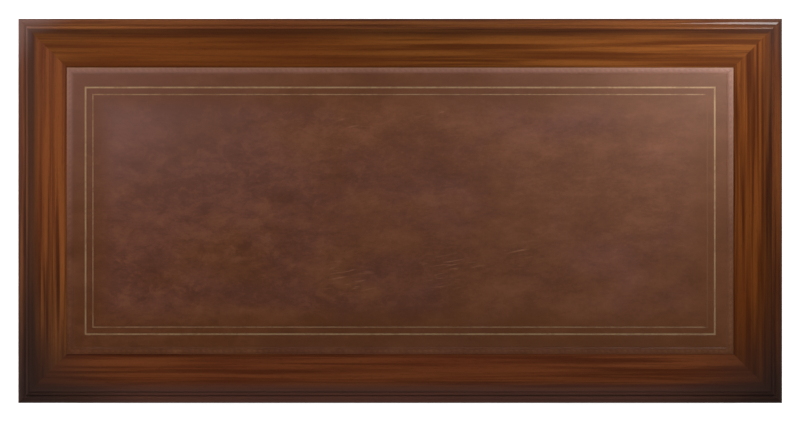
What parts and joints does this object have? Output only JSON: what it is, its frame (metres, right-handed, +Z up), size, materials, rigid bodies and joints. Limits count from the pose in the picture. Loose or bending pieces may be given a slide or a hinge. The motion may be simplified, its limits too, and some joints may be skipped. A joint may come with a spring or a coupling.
{
  "type": "partners desk",
  "caption": "Twin-pedestal mahogany desk with a gilt-tooled leather writing top, drawers on both sides, cupboards behind and brass bail pulls.",
  "frame": {"origin": "on the floor under the middle of the top", "axes": "+X along the desk, -Y towards the side with the pedestal drawers, +Z up"},
  "size_m": [1.83, 0.921, 0.77],
  "materials": {
    "mahogany": "french polished, ribbon grain",
    "oak": "plain, unpolished",
    "leather": "waxed hide, gilt and blind tooled",
    "brass": "aged, polished on the high spots",
    "steel": "plain"
  },
  "bodies": {
    "case": {"top_border_front": "mahogany", "top_border_right": "mahogany", "top_border_back": "mahogany", "top_border_left": "mahogany", "top_core_panel": "oak", "writing_leather": "leather", "frieze_ends": "mahogany", "frieze_face_frame": "mahogany", "frieze_inner_frame": "oak", "right_pedestal_sides": "mahogany", "left_pedestal_sides": "mahogany", "right_pedestal_frame": "mahogany", "left_pedestal_frame": "mahogany", "plinths": "mahogany", "door_hinges": "brass", "case_fasteners": "steel"},
    "front_left_frieze_drawer": {"front_left_frieze_drawer": "mahogany", "front_left_frieze_drawer_pulls": "brass"},
    "front_left_frieze_drawer_bail": {"front_left_frieze_drawer_bail": "brass"},
    "front_centre_frieze_drawer": {"front_centre_frieze_drawer": "mahogany", "front_centre_frieze_drawer_pulls": "brass"},
    "front_centre_frieze_drawer_left_bail": {"front_centre_frieze_drawer_left_bail": "brass"},
    "front_centre_frieze_drawer_right_bail": {"front_centre_frieze_drawer_right_bail": "brass"},
    "front_right_frieze_drawer": {"front_right_frieze_drawer": "mahogany", "front_right_frieze_drawer_pulls": "brass"},
    "front_right_frieze_drawer_bail": {"front_right_frieze_drawer_bail": "brass"},
    "back_left_frieze_drawer": {"back_left_frieze_drawer": "mahogany", "back_left_frieze_drawer_pulls": "brass"},
    "back_left_frieze_drawer_bail": {"back_left_frieze_drawer_bail": "brass"},
    "back_centre_frieze_drawer": {"back_centre_frieze_drawer": "mahogany", "back_centre_frieze_drawer_pulls": "brass"},
    "back_centre_frieze_drawer_left_bail": {"back_centre_frieze_drawer_left_bail": "brass"},
    "back_centre_frieze_drawer_right_bail": {"back_centre_frieze_drawer_right_bail": "brass"},
    "back_right_frieze_drawer": {"back_right_frieze_drawer": "mahogany", "back_right_frieze_drawer_pulls": "brass"},
    "back_right_frieze_drawer_bail": {"back_right_frieze_drawer_bail": "brass"},
    "left_upper_drawer": {"left_upper_drawer": "mahogany", "left_upper_drawer_pulls": "brass"},
    "left_upper_drawer_bail": {"left_upper_drawer_bail": "brass"},
    "left_middle_drawer": {"left_middle_drawer": "mahogany", "left_middle_drawer_pulls": "brass"},
    "left_middle_drawer_bail": {"left_middle_drawer_bail": "brass"},
    "left_lower_drawer": {"left_lower_drawer": "mahogany", "left_lower_drawer_pulls": "brass"},
    "left_lower_drawer_bail": {"left_lower_drawer_bail": "brass"},
    "right_upper_drawer": {"right_upper_drawer": "mahogany", "right_upper_drawer_pulls": "brass"},
    "right_upper_drawer_bail": {"right_upper_drawer_bail": "brass"},
    "right_middle_drawer": {"right_middle_drawer": "mahogany", "right_middle_drawer_pulls": "brass"},
    "right_middle_drawer_bail": {"right_middle_drawer_bail": "brass"},
    "right_lower_drawer": {"right_lower_drawer": "mahogany", "right_lower_drawer_pulls": "brass"},
    "right_lower_drawer_bail": {"right_lower_drawer_bail": "brass"},
    "right_door": {"right_door": "mahogany", "right_door_fittings": "brass"},
    "right_door_latch": {"right_door_latch": "brass"},
    "left_door": {"left_door": "mahogany", "left_door_fittings": "brass"},
    "left_door_latch": {"left_door_latch": "brass"}
  },
  "joints": [
    {"name": "front_left_frieze_drawer_slide", "type": "slide", "parent": "case", "child": "front_left_frieze_drawer", "axis": [0, -1, 0], "range_m": [0, 0.3]},
    {"name": "front_left_frieze_drawer_bail_swing", "type": "hinge", "parent": "front_left_frieze_drawer", "child": "front_left_frieze_drawer_bail", "pos_m": [-0.64, -0.4445, 0.671], "axis": [-1, 0, 0], "range_deg": [-20, 100]},
    {"name": "front_centre_frieze_drawer_slide", "type": "slide", "parent": "case", "child": "front_centre_frieze_drawer", "axis": [0, -1, 0], "range_m": [0, 0.3]},
    {"name": "front_centre_frieze_drawer_left_bail_swing", "type": "hinge", "parent": "front_centre_frieze_drawer", "child": "front_centre_frieze_drawer_left_bail", "pos_m": [-0.1985, -0.4445, 0.671], "axis": [-1, 0, 0], "range_deg": [-20, 100]},
    {"name": "front_centre_frieze_drawer_right_bail_swing", "type": "hinge", "parent": "front_centre_frieze_drawer", "child": "front_centre_frieze_drawer_right_bail", "pos_m": [0.1985, -0.4445, 0.671], "axis": [-1, 0, 0], "range_deg": [-20, 100]},
    {"name": "front_right_frieze_drawer_slide", "type": "slide", "parent": "case", "child": "front_right_frieze_drawer", "axis": [0, -1, 0], "range_m": [0, 0.3]},
    {"name": "front_right_frieze_drawer_bail_swing", "type": "hinge", "parent": "front_right_frieze_drawer", "child": "front_right_frieze_drawer_bail", "pos_m": [0.64, -0.4445, 0.671], "axis": [-1, 0, 0], "range_deg": [-20, 100]},
    {"name": "back_left_frieze_drawer_slide", "type": "slide", "parent": "case", "child": "back_left_frieze_drawer", "axis": [0, 1, 0], "range_m": [0, 0.3]},
    {"name": "back_left_frieze_drawer_bail_swing", "type": "hinge", "parent": "back_left_frieze_drawer", "child": "back_left_frieze_drawer_bail", "pos_m": [-0.64, 0.4445, 0.671], "axis": [1, 0, 0], "range_deg": [-20, 100]},
    {"name": "back_centre_frieze_drawer_slide", "type": "slide", "parent": "case", "child": "back_centre_frieze_drawer", "axis": [0, 1, 0], "range_m": [0, 0.3]},
    {"name": "back_centre_frieze_drawer_left_bail_swing", "type": "hinge", "parent": "back_centre_frieze_drawer", "child": "back_centre_frieze_drawer_left_bail", "pos_m": [-0.1985, 0.4445, 0.671], "axis": [1, 0, 0], "range_deg": [-20, 100]},
    {"name": "back_centre_frieze_drawer_right_bail_swing", "type": "hinge", "parent": "back_centre_frieze_drawer", "child": "back_centre_frieze_drawer_right_bail", "pos_m": [0.1985, 0.4445, 0.671], "axis": [1, 0, 0], "range_deg": [-20, 100]},
    {"name": "back_right_frieze_drawer_slide", "type": "slide", "parent": "case", "child": "back_right_frieze_drawer", "axis": [0, 1, 0], "range_m": [0, 0.3]},
    {"name": "back_right_frieze_drawer_bail_swing", "type": "hinge", "parent": "back_right_frieze_drawer", "child": "back_right_frieze_drawer_bail", "pos_m": [0.64, 0.4445, 0.671], "axis": [1, 0, 0], "range_deg": [-20, 100]},
    {"name": "left_upper_drawer_slide", "type": "slide", "parent": "case", "child": "left_upper_drawer", "axis": [0, -1, 0], "range_m": [0, 0.37]},
    {"name": "left_upper_drawer_bail_swing", "type": "hinge", "parent": "left_upper_drawer", "child": "left_upper_drawer_bail", "pos_m": [-0.64, -0.4445, 0.522], "axis": [-1, 0, 0], "range_deg": [-20, 100]},
    {"name": "left_middle_drawer_slide", "type": "slide", "parent": "case", "child": "left_middle_drawer", "axis": [0, -1, 0], "range_m": [0, 0.37]},
    {"name": "left_middle_drawer_bail_swing", "type": "hinge", "parent": "left_middle_drawer", "child": "left_middle_drawer_bail", "pos_m": [-0.64, -0.4445, 0.367], "axis": [-1, 0, 0], "range_deg": [-20, 100]},
    {"name": "left_lower_drawer_slide", "type": "slide", "parent": "case", "child": "left_lower_drawer", "axis": [0, -1, 0], "range_m": [0, 0.37]},
    {"name": "left_lower_drawer_bail_swing", "type": "hinge", "parent": "left_lower_drawer", "child": "left_lower_drawer_bail", "pos_m": [-0.64, -0.4445, 0.193], "axis": [-1, 0, 0], "range_deg": [-20, 100]},
    {"name": "right_upper_drawer_slide", "type": "slide", "parent": "case", "child": "right_upper_drawer", "axis": [0, -1, 0], "range_m": [0, 0.37]},
    {"name": "right_upper_drawer_bail_swing", "type": "hinge", "parent": "right_upper_drawer", "child": "right_upper_drawer_bail", "pos_m": [0.64, -0.4445, 0.522], "axis": [-1, 0, 0], "range_deg": [-20, 100]},
    {"name": "right_middle_drawer_slide", "type": "slide", "parent": "case", "child": "right_middle_drawer", "axis": [0, -1, 0], "range_m": [0, 0.37]},
    {"name": "right_middle_drawer_bail_swing", "type": "hinge", "parent": "right_middle_drawer", "child": "right_middle_drawer_bail", "pos_m": [0.64, -0.4445, 0.367], "axis": [-1, 0, 0], "range_deg": [-20, 100]},
    {"name": "right_lower_drawer_slide", "type": "slide", "parent": "case", "child": "right_lower_drawer", "axis": [0, -1, 0], "range_m": [0, 0.37]},
    {"name": "right_lower_drawer_bail_swing", "type": "hinge", "parent": "right_lower_drawer", "child": "right_lower_drawer_bail", "pos_m": [0.64, -0.4445, 0.193], "axis": [-1, 0, 0], "range_deg": [-20, 100]},
    {"name": "right_door_hinge", "type": "hinge", "parent": "case", "child": "right_door", "pos_m": [0.86, 0.4321, 0.348], "axis": [0, 0, -1], "range_deg": [0, 150]},
    {"name": "right_door_latch_turn", "type": "hinge", "parent": "right_door", "child": "right_door_latch", "pos_m": [0.452, 0.4285, 0.348], "axis": [0, 1, 0], "range_deg": [0, 90]},
    {"name": "left_door_hinge", "type": "hinge", "parent": "case", "child": "left_door", "pos_m": [-0.86, 0.4321, 0.348], "axis": [0, 0, 1], "range_deg": [0, 150]},
    {"name": "left_door_latch_turn", "type": "hinge", "parent": "left_door", "child": "left_door_latch", "pos_m": [-0.452, 0.4285, 0.348], "axis": [0, -1, 0], "range_deg": [0, 90]}
  ]
}
